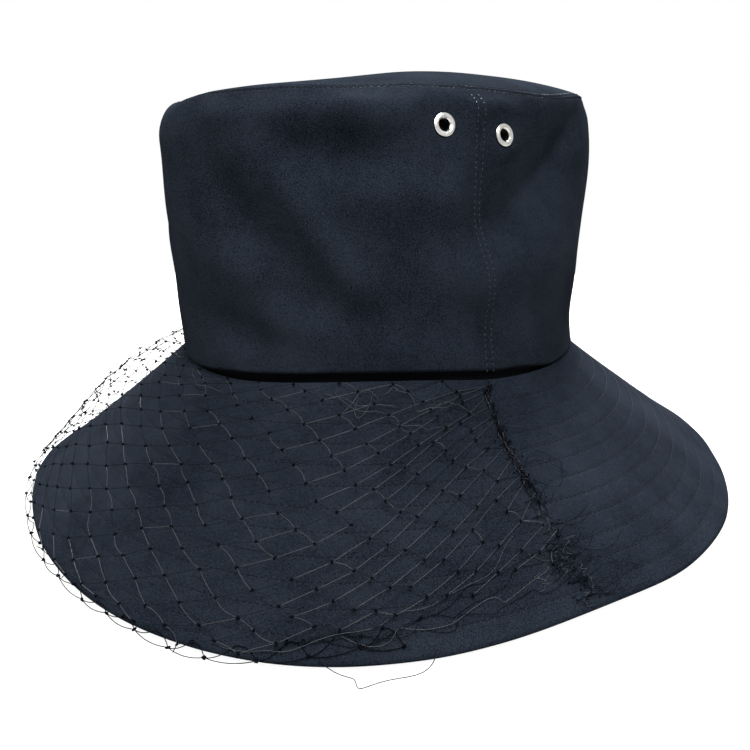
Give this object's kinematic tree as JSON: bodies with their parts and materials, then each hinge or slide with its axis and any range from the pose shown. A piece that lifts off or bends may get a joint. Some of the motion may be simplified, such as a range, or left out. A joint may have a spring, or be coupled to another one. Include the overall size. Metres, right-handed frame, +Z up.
{
  "type": "veiled cloth hat",
  "caption": "Tall soft cloth hat with a wide quilted drooping brim, metal vent eyelets by the side seams and a knotted net veil over the front of the brim that lifts.",
  "frame": {"origin": "middle of the bounding box at the ground the brim edge stands on", "axes": "-Y is the wearer's front, +X the wearer's left, +Z up out of the crown"},
  "size_m": [0.3258, 0.3436, 0.1854],
  "materials": {
    "cotton": "matt blue-black twill cotton",
    "lining": "smooth black lining",
    "interlining": "stiff unbleached canvas",
    "sweatband": "ribbed grosgrain ribbon",
    "net": "black knotted net",
    "eyelet_metal": "polished nickel"
  },
  "bodies": {
    "hat": {"crown_tip": "cotton", "crown_front": "cotton", "crown_back": "cotton", "rim_seam_binding": "cotton", "foot_seam_binding": "cotton", "lining_tip": "lining", "lining_front": "lining", "lining_back": "lining", "sweatband": "sweatband", "brim_upper_front": "cotton", "brim_upper_back": "cotton", "brim_core_front": "interlining", "brim_core_back": "interlining", "brim_under_front": "cotton", "brim_under_back": "cotton", "eyelet_left_front": "eyelet_metal", "eyelet_left_back": "eyelet_metal", "eyelet_right_front": "eyelet_metal", "eyelet_right_back": "eyelet_metal", "washer_left_front": "eyelet_metal", "washer_left_back": "eyelet_metal", "washer_right_front": "eyelet_metal", "washer_right_back": "eyelet_metal", "veil_side_left": "net", "veil_side_right": "net", "veil_gather_left": "net", "veil_gather_right": "net"},
    "veil": {"veil_front": "net"}
  },
  "joints": [
    {"name": "veil_lift", "type": "hinge", "parent": "hat", "child": "veil", "pos_m": [0, -0.0944, 0.0645], "axis": [-1, 0, 0], "range_deg": [0, 60]}
  ]
}
